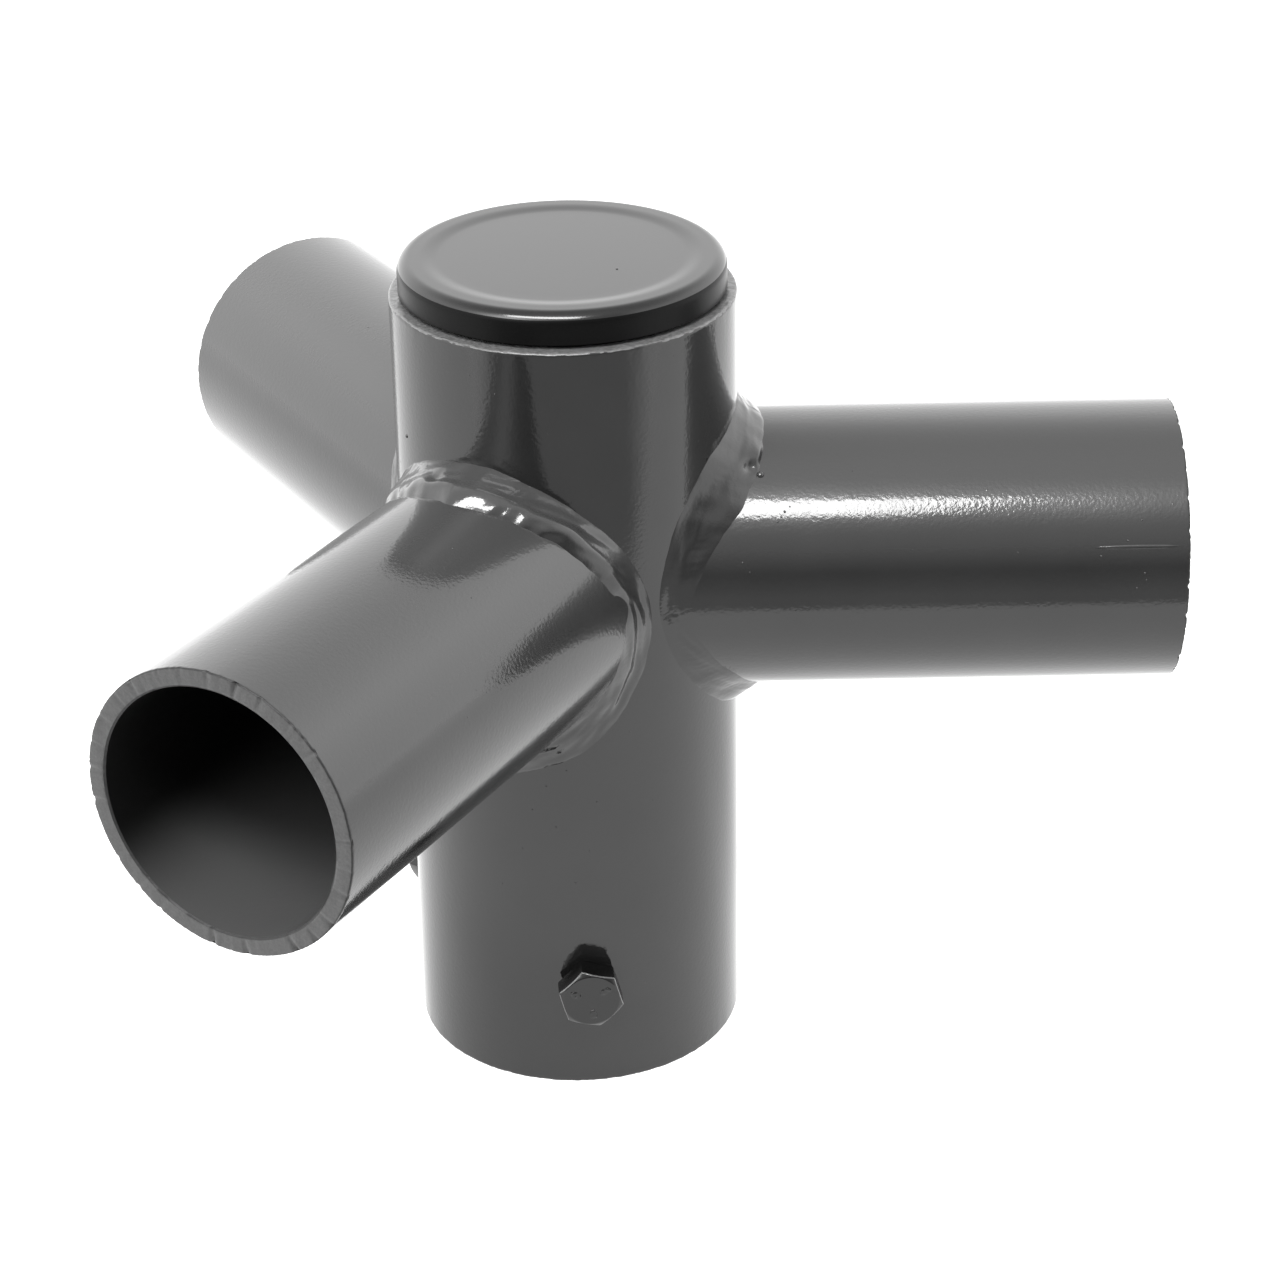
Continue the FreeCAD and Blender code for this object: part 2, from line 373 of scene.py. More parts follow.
def register(
    bm: BMesh, name: str, slot: Slot, materials: list[Material], *nodes: str,
    sharp_degrees: float = 40.0,
) -> Object:
    """Turn a finished bmesh into a piece that stands for its CAD nodes.

    Args:
        bm: The shape, in metres in the row frame; it is freed.
        name: The piece's name.
        slot: The record's material slot; not used.
        materials: Materials by face index.
        nodes: CAD nodes that the piece stands for.
        sharp_degrees: Edges that turn by more than this are shaded sharp.

    Returns:
        The new object.
    """
    for face in bm.faces:
        face.smooth = True
    mesh = mesh_from(bm, name)
    mesh.set_sharp_from_angle(angle=math.radians(sharp_degrees))
    for material in materials:
        mesh.materials.append(material)
    piece = placed(name, mesh)
    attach(piece, BODY)
    if nodes:
        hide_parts(*nodes)
    LOG.info("%s: %d faces", name, len(mesh.polygons))
    return piece


def between(start: float, end: float, step: float) -> list[float]:
    """Evenly spaced values from start to end, no more than a step apart."""
    count = max(1, math.ceil(abs(end - start) / step))
    return [start + (end - start) * index / count for index in range(count + 1)]


def rounding(centre: Pair, radius: float, start: float, end: float, count: int = 4) -> Outline:
    """Points of an arc in (radius, height) coordinates, with its angles in degrees."""
    turns = [math.radians(turn) for turn in between(start, end, abs(end - start) / count)]
    return [
        (centre[0] + radius * math.cos(turn), centre[1] + radius * math.sin(turn)) for turn in turns
    ]


def lathe(outline: Outline, steps: int, closed: bool = True) -> BMesh:
    """Spin an outline of (radius, height) points a full turn about the Z axis.

    Args:
        outline: The points in order; the last joins the first if it is closed.
        steps: Number of segments in the turn.
        closed: Whether the outline is a loop; an open one ends on the axis.

    Returns:
        A closed shape with its faces outwards.
    """
    bm = bmesh.new()
    verts = [bm.verts.new((radius, 0.0, height)) for radius, height in outline]
    edges = [bm.edges.new(pair) for pair in zip(verts, verts[1:])]
    if closed:
        edges.append(bm.edges.new((verts[-1], verts[0])))
    bmesh.ops.spin(
        bm, geom=verts + edges, cent=(0, 0, 0), axis=(0, 0, 1), angle=math.tau, steps=steps,
        use_merge=True,
    )
    bmesh.ops.remove_doubles(bm, verts=bm.verts, dist=SAME_POINT)
    bmesh.ops.recalc_face_normals(bm, faces=bm.faces)
    return bm


def cylinder(radius: float, start: Vector, end: Vector, steps: int = 96) -> BMesh:
    """A plain closed cylinder between two points, used as a cutter."""
    bm = bmesh.new()
    bmesh.ops.create_cone(
        bm, cap_ends=True, segments=steps, radius1=radius, radius2=radius,
        depth=(end - start).length,
    )
    turn = Vector((0, 0, 1)).rotation_difference(end - start).to_matrix().to_4x4()
    bmesh.ops.transform(bm, matrix=Matrix.Translation((start + end) / 2) @ turn, verts=bm.verts)
    return bm


def drilled(bm: BMesh, cutters: list[BMesh]) -> BMesh:
    """Cut holes in a closed shape.

    Args:
        bm: The shape to cut; it is freed.
        cutters: Closed shapes to take away; they are freed.

    Returns:
        The cut shape.
    """
    body = placed("drilled", mesh_from(bm, "drilled"))
    tools = [placed("drill", mesh_from(cutter, "drill")) for cutter in cutters]
    for tool in tools:
        cut = body.modifiers.new("cut", "BOOLEAN")
        cut.operation, cut.solver, cut.object = "DIFFERENCE", "EXACT", tool
    bpy.context.view_layer.update()
    depsgraph = bpy.context.evaluated_depsgraph_get()
    finished = bpy.data.meshes.new_from_object(body.evaluated_get(depsgraph))
    result = bmesh.new()
    result.from_mesh(finished)
    for thing in (body, *tools):
        old = thing.data
        bpy.data.objects.remove(thing)
        bpy.data.meshes.remove(old)
    bpy.data.meshes.remove(finished)
    return result


def outward(azimuth: float) -> Vector:
    """Level unit vector at an azimuth in degrees."""
    return Vector((math.cos(math.radians(azimuth)), math.sin(math.radians(azimuth)), 0.0))


def arm_place(arm: str) -> Matrix:
    """Matrix that puts a shape modelled along +X on an arm's axis."""
    turn = Matrix.Rotation(math.radians(ARM_AZIMUTHS[arm]), 4, "Z")
    return Matrix.Translation((0, 0, ARM_HEIGHT)) @ turn


@dataclass
class Sleeve:
    """The post sleeve with its rough upper rim, wire holes and tapped holes."""

    finishes: Finishes
    steps: int = 320
    ring_step: float = mm(3.0)
    upper_step: float = mm(0.6)
    lower_step: float = mm(1.2)
    edge: float = mm(0.55)
    bore_skin: float = mm(0.2)
    cut_band: float = mm(0.9)
    tapped_radius: float = mm(4.02)
    drill_reach: float = SLEEVE_RADIUS * 1.2
    grit_mm: float = 1.1
    rim_grit: float = mm(0.16)
    rim_wear: float = mm(0.05)
    rim_tilt: float = 0.55

    def outline(self) -> Outline:
        """Closed section of the pipe's wall, with eased edges."""
        top, out, bore, edge = SLEEVE_LENGTH, SLEEVE_RADIUS, BORE_RADIUS, self.edge
        wall = [(out, height) for height in between(edge * 1.6, top - edge * 1.6, self.ring_step)]
        inner = [(bore, height) for height in between(top - edge, edge, self.ring_step)]
        flat = (bore + edge, out - edge * 1.4)
        upper = [(radius, top) for radius in between(flat[1], flat[0], self.upper_step)]
        lower = [(radius, 0.0) for radius in between(*flat, self.lower_step)]
        return (
            rounding((out - edge, edge), edge, -90, 0) + wall
            + rounding((out - edge, top - edge), edge, 0, 90) + upper + inner + lower
        )

    def roughen_rim(self, bm: BMesh) -> None:
        """Leave the marks of the saw on both cut rims."""
        for vert in bm.verts:
            reach = math.hypot(vert.co.x, vert.co.y)
            inside = reach < BORE_RADIUS + self.bore_skin
            if inside or self.cut_band < vert.co.z < SLEEVE_LENGTH - self.cut_band:
                continue
            spot = vert.co * cells(self.grit_mm)
            share = 1.0 if reach < SLEEVE_RADIUS else 0.4
            vert.co.z += self.rim_grit * noise.noise(spot) * share
            vert.co.xy *= 1.0 + self.rim_wear / reach * noise.noise(spot * 0.7 + Vector((7, 3, 1)))

    def build(self) -> Object:
        """Model and dress the sleeve.

        Returns:
            The sleeve's object.
        """
        bm = lathe(self.outline(), self.steps)
        self.roughen_rim(bm)
        holes = [(WIRE_HOLE_RADIUS, ARM_HEIGHT, azimuth) for azimuth in ARM_AZIMUTHS.values()]
        holes += [(self.tapped_radius, SCREW_HEIGHT, azimuth) for azimuth, _ in SCREWS]
        cutters = []
        for radius, height, azimuth in holes:
            start = Vector((0, 0, height))
            cutters.append(cylinder(radius, start, start + outward(azimuth) * self.drill_reach))
        bm = drilled(bm, cutters)
        for face in bm.faces:
            centre = face.calc_center_median()
            if math.hypot(centre.x, centre.y) < BORE_RADIUS + self.bore_skin:
                face.material_index = 1
            # Both level rims take the paler rim film, which holds painted light for the lit upward
            # ring
            elif abs(face.normal.z) > self.rim_tilt:
                face.material_index = 2
        materials = [self.finishes.enamel, self.finishes.bore, self.finishes.rim]
        return register(bm, "sleeve_shell", Slot.SLEEVE, materials, "post_sleeve")


@dataclass
class ArmPipe:
    """One arm's pipe, coped to the sleeve, with a sawn outer end."""

    finishes: Finishes
    name: str
    seed: float
    steps: int = 480
    ring_step: float = mm(8.0)
    cut_step: float = mm(0.45)
    edge: float = mm(0.4)
    root: float = SLEEVE_RADIUS * 0.5
    bore_skin: float = mm(0.1)
    cut_band: float = mm(0.5)
    chip_band: float = mm(0.9)
    saw_depth: float = mm(0.12)
    nick_pitch: float = mm(6.5)
    nick_width: float = mm(0.5)
    nick_depth: float = mm(0.85)
    chip_depth: float = mm(0.16)
    root_sink: float = mm(0.3)

    def outline(self) -> Outline:
        """Closed section of the wall, with height standing for the way out along the arm."""
        out, bore, end, edge = ARM_RADIUS, ARM_BORE, ARM_REACH, self.edge
        wall = [(out, reach) for reach in between(self.root, end - mm(1.4), self.ring_step)]
        wall += [(out, end - mm(1.0)), (out, end - edge * 1.6)]
        cut = [(radius, end) for radius in between(out - edge * 1.4, bore + edge, self.cut_step)]
        inner = [(bore, reach) for reach in between(end - edge, self.root, self.ring_step)]
        return wall + rounding((out - edge, end - edge), edge, 0, 90) + cut + inner

    def cope(self, vert: BMVert) -> None:
        """Slide a point along the arm so that the root follows the sleeve's outside."""
        share = (vert.co.x - self.root) / (ARM_REACH - self.root)
        side = min(abs(vert.co.y), SLEEVE_RADIUS)
        root = math.sqrt(SLEEVE_RADIUS**2 - side**2) - self.root_sink
        vert.co.x = root + (ARM_REACH - root) * share

    def saw_marks(self, vert: BMVert) -> None:
        """Score the cut end and chip its outer edge."""
        reach = math.hypot(vert.co.y, vert.co.z)
        if vert.co.x < ARM_REACH - self.cut_band or reach < ARM_BORE + self.bore_skin:
            return
        turn = math.atan2(vert.co.y, vert.co.z)
        stroke = Vector((vert.co.y * cells(2.2), vert.co.z * cells(7.0), self.seed))
        score = noise.noise(Vector((turn * 34.0, reach * cells(5.0), self.seed)))
        vert.co.x += self.saw_depth * (0.6 * noise.noise(stroke) + 0.5 * score)

        # The saw's teeth left a nick every few millimetres, deepest at the outer edge
        along = turn * ARM_RADIUS / self.nick_pitch
        which = round(along)
        strength = max(0.0, 0.35 + noise.noise(Vector((which * 0.73, self.seed, 4.0))) * 1.6)
        shift = 0.3 * noise.noise(Vector((which * 1.37, self.seed, 8.0)))
        away = (along - which - shift) * self.nick_pitch / self.nick_width
        outer = (reach - ARM_BORE) / ARM_WALL
        cut = strength * math.exp(-away * away) * (0.25 + 0.75 * outer * outer)
        vert.co.x -= self.nick_depth * cut
        if reach > ARM_RADIUS - self.chip_band:
            grain = max(0.0, noise.noise(Vector((turn * 42.0, self.seed, 2.0))))
            vert.co.x -= self.chip_depth * grain
            shrink = 1.0 - self.chip_depth * (cut + grain) / reach
            vert.co.y *= shrink
            vert.co.z *= shrink

    def build(self) -> Object:
        """Model and dress the arm.

        Returns:
            The arm's object.
        """
        bm = lathe(self.outline(), self.steps)
        bmesh.ops.rotate(bm, verts=bm.verts, matrix=Matrix.Rotation(math.radians(90), 3, "Y"))
        for face in bm.faces:
            centre = face.calc_center_median()
            if math.hypot(centre.y, centre.z) < ARM_BORE + self.bore_skin:
                face.material_index = 1
            elif abs(face.normal.x) > 0.97:
                face.material_index = 2
            elif face.normal.x > 0.1:
                face.material_index = 3
        for vert in bm.verts:
            self.cope(vert)
            self.saw_marks(vert)
        bmesh.ops.transform(bm, matrix=arm_place(self.name), verts=bm.verts)
        finishes = self.finishes
        materials = [finishes.enamel, finishes.bore, finishes.sawn, finishes.burr]
        return register(bm, f"{self.name}_arm_pipe", Slot.ARM, materials, f"{self.name}_arm_tube")


@dataclass(frozen=True)
class Lump:
    """A place where the welder paused and the bead swelled or sank."""

    angle: float
    across: float
    width_mm: float
    rise_mm: float


@dataclass
class WeldBead:
    """Hand-laid fillet bead that follows the saddle between an arm and the sleeve.

    Legs and rolls are given every 45 degrees round the arm, from its top towards its left side.
    """

    finishes: Finishes
    name: str
    sleeve_legs_mm: tuple[float, ...]
    arm_legs_mm: tuple[float, ...]
    rolls_mm: tuple[float, ...]
    lumps: tuple[Lump, ...]
    seed: float
    around: int = 620
    face_steps: int = 34
    root_steps: int = 6
    hollow: float = 0.055
    roll_share: float = 0.38
    roll_rise: float = 0.6
    toe_sink: float = mm(0.15)
    toe_sharpness: int = 10
    root_depth: float = mm(2.6)
    face_width: float = mm(11.0)
    ripple_bow: float = mm(2.4)
    ripple_pitch_mm: float = 1.8
    ripple_rise: float = mm(0.018)
    streak_pitch_mm: float = 7.0
    streak_rise: float = mm(0.26)
    swell_pitch_mm: float = 9.0
    swell_rise: float = mm(0.45)

    @staticmethod
    def leg(stops: tuple[float, ...], angle: float) -> float:
        """Smoothly varying leg length, in metres, between the stops round the arm."""
        place = (angle % math.tau) / math.tau * len(stops)
        index, share = int(place) % len(stops), place - int(place)
        a, b, c, d = (stops[(index + step) % len(stops)] for step in (-1, 0, 1, 2))
        value = b + 0.5 * share * (
            c - a + share * (2 * a - 5 * b + 4 * c - d + share * (3 * (b - c) + d - a))
        )
        return mm(value)

    def wander(self, angle: float, offset: float) -> float:
        """Uneven line of a toe, as a share of its leg."""
        spot = Vector((math.cos(angle), math.sin(angle), 0.0))
        slow = noise.noise(spot * 3.2 + Vector((offset, self.seed, 0)))
        quick = noise.noise(spot * 11.0 + Vector((self.seed, offset, 3)))
        return 1.0 + 0.14 * slow + 0.05 * quick

    def toes(self, angle: float) -> tuple[Vector, Vector, Vector, Vector, Vector]:
        """Toes, their surface normals and the saddle point at one angle.

        Args:
            angle: Angle round the arm from its top, in radians.

        Returns:
            Sleeve toe, its normal, arm toe, its normal and the saddle point, about the arm's axis.
        """
        sleeve_leg = self.leg(self.sleeve_legs_mm, angle) * self.wander(angle, 1.0)
        arm_leg = self.leg(self.arm_legs_mm, angle) * self.wander(angle, 5.0)
        side, rise = ARM_RADIUS * math.sin(angle), ARM_RADIUS * math.cos(angle)
        bearing = math.asin(side / SLEEVE_RADIUS)
        saddle = Vector((SLEEVE_RADIUS * math.cos(bearing), side, rise))
        across, along = side, rise / math.cos(bearing)
        length = math.hypot(across, along)
        toe_bearing = bearing + sleeve_leg * across / length / SLEEVE_RADIUS
        sleeve_normal = Vector((math.cos(toe_bearing), math.sin(toe_bearing), 0.0))
        sleeve_toe = sleeve_normal * SLEEVE_RADIUS
        sleeve_toe += Vector((0, 0, rise + sleeve_leg * along / length))
        arm_normal = Vector((0.0, math.sin(angle), math.cos(angle)))
        arm_toe = arm_normal * ARM_RADIUS + Vector((saddle.x + arm_leg, 0, 0))
        return sleeve_toe, sleeve_normal, arm_toe, arm_normal, saddle

    def surface(self, angle: float, across: float) -> float:
        """Height of swells, lengthwise streaks, faint ripples and lumps over the bead's face."""
        edge = math.sin(math.pi * across)
        path = angle * ARM_RADIUS * 1.25
        bow = self.ripple_bow * (1.0 - (2.0 * across - 1.0) ** 2)
        spot = Vector((path * cells(self.swell_pitch_mm), across * 1.6, self.seed))
        swell = noise.noise(spot)
        slant = across * 5.5 + path * cells(11.0)
        streak = noise.noise(Vector((path * cells(self.streak_pitch_mm), slant, self.seed + 9)))
        phase = (path + bow) / mm(self.ripple_pitch_mm) * math.tau + 3.0 * swell
        ripple = math.sin(phase) * max(0.0, noise.noise(spot * 1.4) + 0.2)
        height = self.swell_rise * swell + self.streak_rise * streak + self.ripple_rise * ripple
        for lump in self.lumps:
            away = (angle - math.radians(lump.angle) + math.pi) % math.tau - math.pi
            reach = math.hypot(away * ARM_RADIUS, (across - lump.across) * self.face_width)
            swelling = math.exp(-((reach / mm(lump.width_mm)) ** 2))
            height += mm(lump.rise_mm) * swelling / max(edge, 0.35)
        return height * edge

    def point(self, turn: float, share: float) -> Vector:
        """Place of one point of the bead.

        Args:
            turn: Share of the way round the arm.
            share: Share of the way round the bead's section, face first and root last.

        Returns:
            The point about the arm's axis.
        """
        angle = turn * math.tau
        sleeve_toe, sleeve_normal, arm_toe, arm_normal, saddle = self.toes(angle)
        out = (sleeve_normal + arm_normal).normalized()
        face_share = self.face_steps / (self.face_steps + self.root_steps)
        if share <= face_share:
            across = share / face_share
            chord = arm_toe - sleeve_toe
            up = (out - out.project(chord)).normalized()
            dip = self.hollow * chord.length * 4.0 * across * (1.0 - across)
            # The metal rolled over at the arm's toe, and lies nearly level behind the roll
            front = math.sin(math.pi / 2 * min(1.0, (1.0 - across) / self.roll_share))
            rolled = front * min(1.0, across / self.roll_rise) ** 1.5
            dip -= self.leg(self.rolls_mm, angle) * rolled
            sink = self.toe_sink * abs(2.0 * across - 1.0) ** self.toe_sharpness
            height = self.surface(angle, across) - dip - sink
            return sleeve_toe.lerp(arm_toe, across) + up * height
        under = (share - face_share) / (1.0 - face_share)
        corner = saddle - out * self.root_depth
        start = arm_toe - arm_normal * self.toe_sink
        end = sleeve_toe - sleeve_normal * self.toe_sink
        return start.lerp(corner, under * 2) if under < 0.5 else corner.lerp(end, under * 2 - 1)

    def build(self) -> Object:
        """Model and dress the bead.

        Returns:
            The bead's object.
        """
        bm = bmesh.new()
        bmesh.ops.create_grid(
            bm, x_segments=self.around, y_segments=self.face_steps + self.root_steps, size=0.5
        )
        for vert in bm.verts:
            vert.co = self.point(vert.co.x + 0.5, vert.co.y + 0.5)
        bmesh.ops.remove_doubles(bm, verts=bm.verts, dist=mm(0.002))
        bmesh.ops.recalc_face_normals(bm, faces=bm.faces)
        bmesh.ops.transform(bm, matrix=arm_place(self.name), verts=bm.verts)
        return register(
            bm, f"{self.name}_weld", Slot.BEAD, [self.finishes.bead_enamel],
            f"{self.name}_weld_bead", sharp_degrees=70.0,
        )


@dataclass
class EndPlug:
    """Moulded plug in the sleeve's upper end, with a dished top."""

    finishes: Finishes
    steps: int = 256
    edge_steps: int = 14
    ring_step: float = mm(2.0)
    flange_radius: float = mm(34.5)
    top: float = SLEEVE_LENGTH + mm(7.7)
    under: float = SLEEVE_LENGTH + mm(1.0)
    seat_radius: float = mm(32.8)
    edge: float = mm(2.6)
    lip: float = mm(2.0)
    dish_run: float = mm(4.2)
    dish_depth: float = mm(0.32)
    # Share of the edge's rounding, down from the top, below which the side's painted shade begins
    face_share: float = 0.6
    skirt_depth: float = mm(14.0)
    skirt_radius: float = mm(30.74)
    hollow_radius: float = mm(28.54)
    web: float = mm(3.4)
    fin_radius: float = mm(31.28)
    fin_count: int = 3
    fin_thickness: float = mm(0.9)

    def top_outline(self) -> Outline:
        """Section of the top from the axis out to the flange's rounded edge."""
        lip_outer = self.flange_radius - self.edge
        lip_inner = lip_outer - self.lip
        floor = lip_inner - self.dish_run
        level = self.top - self.dish_depth
        dish = [(radius, level) for radius in between(0.0, floor, self.ring_step)]
        step = [
            (
                floor + self.dish_run * share,
                self.top - self.dish_depth * (0.5 + 0.5 * math.cos(math.pi * share)),
            )
            for share in between(0.0, 1.0, 0.1)[1:]
        ]
        lip = [(radius, self.top) for radius in between(lip_inner, lip_outer, mm(0.5))[1:-1]]
        rounded = rounding((lip_outer, self.top - self.edge), self.edge, 90, 0, self.edge_steps)
        return dish + step + lip + rounded

    def skirt_outline(self) -> Outline:
        """Section of the flange's side, the seat, the finned skirt and the hollow."""
        rim, foot = SLEEVE_LENGTH, SLEEVE_LENGTH - self.skirt_depth
        heights = between(self.top - self.edge, self.under, mm(0.6))[1:]
        points = [(self.flange_radius, height) for height in heights]
        seat = self.seat_radius
        points += [(seat, self.under), (seat, rim), (self.skirt_radius, rim)]
        pitch = self.skirt_depth / (self.fin_count + 1)
        for index in range(self.fin_count):
            crest = rim - pitch * (index + 1) + self.fin_thickness / 2
            base = crest - self.fin_thickness
            points += [(self.skirt_radius, crest), (self.fin_radius, crest)]
            points += [(self.fin_radius, base), (self.skirt_radius, base)]
        ceiling = self.top - self.dish_depth - self.web
        return points + [
            (self.skirt_radius, foot), (self.hollow_radius, foot),
            (self.hollow_radius, ceiling), (0.0, ceiling),
        ]

    def build(self) -> Object:
        """Model and dress the plug.

        Returns:
            The plug's object.
        """
        bm = lathe(self.top_outline() + self.skirt_outline(), self.steps, closed=False)
        for face in bm.faces:
            centre = face.calc_center_median()
            # Faces below this height take the darker plastic, painted shade for the flange's side
            if centre.z < self.top - self.edge * self.face_share:
                face.material_index = 1
        materials = [self.finishes.cap_top, self.finishes.cap_side]
        return register(bm, "end_plug", Slot.CAP, materials, "end_cap", sharp_degrees=50.0)


@dataclass
class SetScrew:
    """Hexagon-head set screw with a chamfered head, three grade strokes and a threaded shank."""

    finishes: Finishes
    index: int
    azimuth: float
    turn: float
    across_flats: float = mm(12.7)
    head_height: float = mm(5.2)
    face_radius: float = mm(6.03)
    chamfer: float = 30.0
    shank_radius: float = mm(3.97)
    shank_length: float = mm(6.35)
    thread_pitch: float = mm(1.41)
    thread_depth: float = mm(0.5)
    thread_flat: float = 0.2
    thread_root: float = 0.6
    tip_radius: float = BORE_RADIUS + mm(0.2)
    tip_chamfer: float = mm(0.8)
    sunk: float = mm(0.2)
    bevel: float = mm(0.2)
    wear_start: float = mm(0.12)
    stroke_length: float = mm(2.9)
    stroke_width: float = mm(1.6)
    stroke_rise: float = mm(0.26)
    stroke_turn: float = -10.0
    stroke_place: float = 0.62

    def head(self) -> BMesh:
        """Hexagon with its corners turned off by a cone, standing on the shank's end."""
        bm = bmesh.new()
        corner = self.across_flats / 2 / math.cos(math.radians(30))
        # The cone's cutter runs well past the corners
        run = self.across_flats
        bmesh.ops.create_circle(bm, cap_ends=True, segments=6, radius=corner)
        bmesh.ops.rotate(bm, verts=bm.verts, matrix=Matrix.Rotation(math.radians(30), 3, "Z"))
        grown = bmesh.ops.extrude_face_region(bm, geom=bm.faces[:])
        lifted = [item for item in grown["geom"] if isinstance(item, BMVert)]
        bmesh.ops.translate(bm, verts=lifted, vec=(0, 0, self.head_height))
        bmesh.ops.recalc_face_normals(bm, faces=bm.faces)
        rim, top = self.face_radius, self.head_height
        low, far = top - run * math.tan(math.radians(self.chamfer)), rim + run * 2
        shell = lathe(
            [(0.0, top), (rim, top), (rim + run, low), (far, low), (far, top * 2), (0.0, top * 2)],
            96, closed=False,
        )
        return drilled(bm, [shell])

    def strokes(self) -> BMesh:
        """Three raised radial strokes of the plain grade mark."""
        bm = bmesh.new()
        size = (self.stroke_length, self.stroke_width, self.stroke_rise * 2)
        for index in range(3):
            made = bmesh.ops.create_icosphere(bm, subdivisions=3, radius=0.5)["verts"]
            bmesh.ops.scale(bm, verts=made, vec=size)
            for vert in made:
                grit = noise.noise(vert.co * cells(0.7) + Vector((index, 0, 0)))
                vert.co.z += self.stroke_rise * grit
            reach = self.face_radius * self.stroke_place
            bmesh.ops.translate(bm, verts=made, vec=(reach, 0, self.head_height))
            spin = Matrix.Rotation(math.radians(index * 120.0 + self.stroke_turn), 3, "Z")
            bmesh.ops.rotate(bm, verts=made, matrix=spin)
        return bm

    def shank(self) -> BMesh:
        """Threaded shank below the head, its crests flat and its tip chamfered."""
        crest, pitch = self.shank_radius, self.thread_pitch
        root = crest - self.thread_depth
        outline = [(0.0, -self.shank_length), (crest - self.tip_chamfer, -self.shank_length)]
        base = -self.shank_length + self.tip_chamfer
        while base < -pitch * self.thread_root:
            outline += [(crest, base), (crest, base + pitch * self.thread_flat)]
            outline.append((root, base + pitch * self.thread_root))
            base += pitch
        outline += [(root, self.sunk), (0.0, self.sunk)]
        return lathe(outline, 64, closed=False)

    def build(self) -> Object:
        """Model and dress the screw.

        Returns:
            The screw's object.
        """
        bm = self.head()
        bevelled = [edge for edge in bm.edges if edge.calc_face_angle(0.0) > math.radians(12)]
        bmesh.ops.bevel(
            bm, geom=bevelled, offset=self.bevel, affect="EDGES", segments=3, profile=0.5,
            material=-1,
        )
        # Only the outline of the head, where the chamfer meets the flats, is worn, and its paler
        # colour also stands for a painted highlight
        for face in bm.faces:
            centre = face.calc_center_median()
            outside = centre.xy.length > self.face_radius + self.wear_start
            if outside and centre.z > self.head_height * 0.55 and 0.2 < face.normal.z < 0.8:
                face.material_index = 1
        for extra in (self.strokes(), self.shank()):
            mesh = mesh_from(extra, "extra")
            bm.from_mesh(mesh)
            bpy.data.meshes.remove(mesh)
        place = (
            Matrix.Translation((0, 0, SCREW_HEIGHT))
            @ Matrix.Rotation(math.radians(self.azimuth), 4, "Z")
            @ Matrix.Translation((self.tip_radius + self.shank_length, 0, 0))
            @ Matrix.Rotation(math.radians(90), 4, "Y")
            @ Matrix.Rotation(math.radians(self.turn), 4, "Z")
        )
        bmesh.ops.transform(bm, matrix=place, verts=bm.verts)
        return register(
            bm, f"hexagon_set_screw_{self.index}", Slot.SCREW,
            [self.finishes.screw, self.finishes.worn_edge], f"set_screw_{self.index}",
            sharp_degrees=32.0,
        )


@dataclass(frozen=True)
class Nib:
    """A speck of weld spatter or a sag of paint under the film, lying on a pipe."""

    spot: Vector
    outward: Vector
    radius_mm: float
    length_mm: float = 0.0


def on_sleeve(azimuth: float, height_mm: float, radius_mm: float) -> Nib:
    """A speck on the sleeve at an azimuth and a height."""
    normal = outward(azimuth)
    return Nib(normal * SLEEVE_RADIUS + Vector((0, 0, mm(height_mm))), normal, radius_mm)


def on_arm(
    arm: str, angle: float, reach_mm: float, radius_mm: float, length_mm: float = 0.0
) -> Nib:
    """A speck on an arm at an angle round it from its top, and at a reach along it."""
    turn = math.radians(angle)
    place = arm_place(arm)
    normal = Vector((0.0, math.sin(turn), math.cos(turn)))
    spot = place @ (normal * ARM_RADIUS + Vector((mm(reach_mm), 0, 0)))
    return Nib(spot, place.to_3x3() @ normal, radius_mm, length_mm)


@dataclass
class Spatter:
    """Specks of weld spatter and sags, all under the same film of paint.

    A speck with a length is a sag, which runs along the right arm.
    """

    finishes: Finishes
    nibs: tuple[Nib, ...]
    sag_axis: Vector = Vector((1, 0, 0))
    flatness: float = 0.75

    def build(self) -> Object:
        """Model and dress the specks.

        Returns:
            The object that holds them all.
        """
        bm = bmesh.new()
        for nib in self.nibs:
            radius = mm(nib.radius_mm)
            made = bmesh.ops.create_icosphere(bm, subdivisions=2, radius=radius)["verts"]
            stretch = max(1.0, nib.length_mm / (2.0 * nib.radius_mm))
            flat = self.flatness / min(stretch, 3.0)
            bmesh.ops.scale(bm, verts=made, vec=(stretch, 1.0, flat))
            turn = Vector((0, 0, 1)).rotation_difference(nib.outward).to_matrix().to_4x4()
            if nib.length_mm:
                side = nib.outward.cross(self.sag_axis)
                turn = Matrix((self.sag_axis, side, nib.outward)).transposed().to_4x4()
            bmesh.ops.transform(bm, matrix=Matrix.Translation(nib.spot) @ turn, verts=made)
        return register(bm, "weld_spatter", Slot.BEAD, [self.finishes.bead_enamel])


@dataclass(frozen=True)
class Glow:
    """A soft round patch of light in one direction of the dome."""

    azimuth: float
    elevation: float
    tightness: float
    strength: float


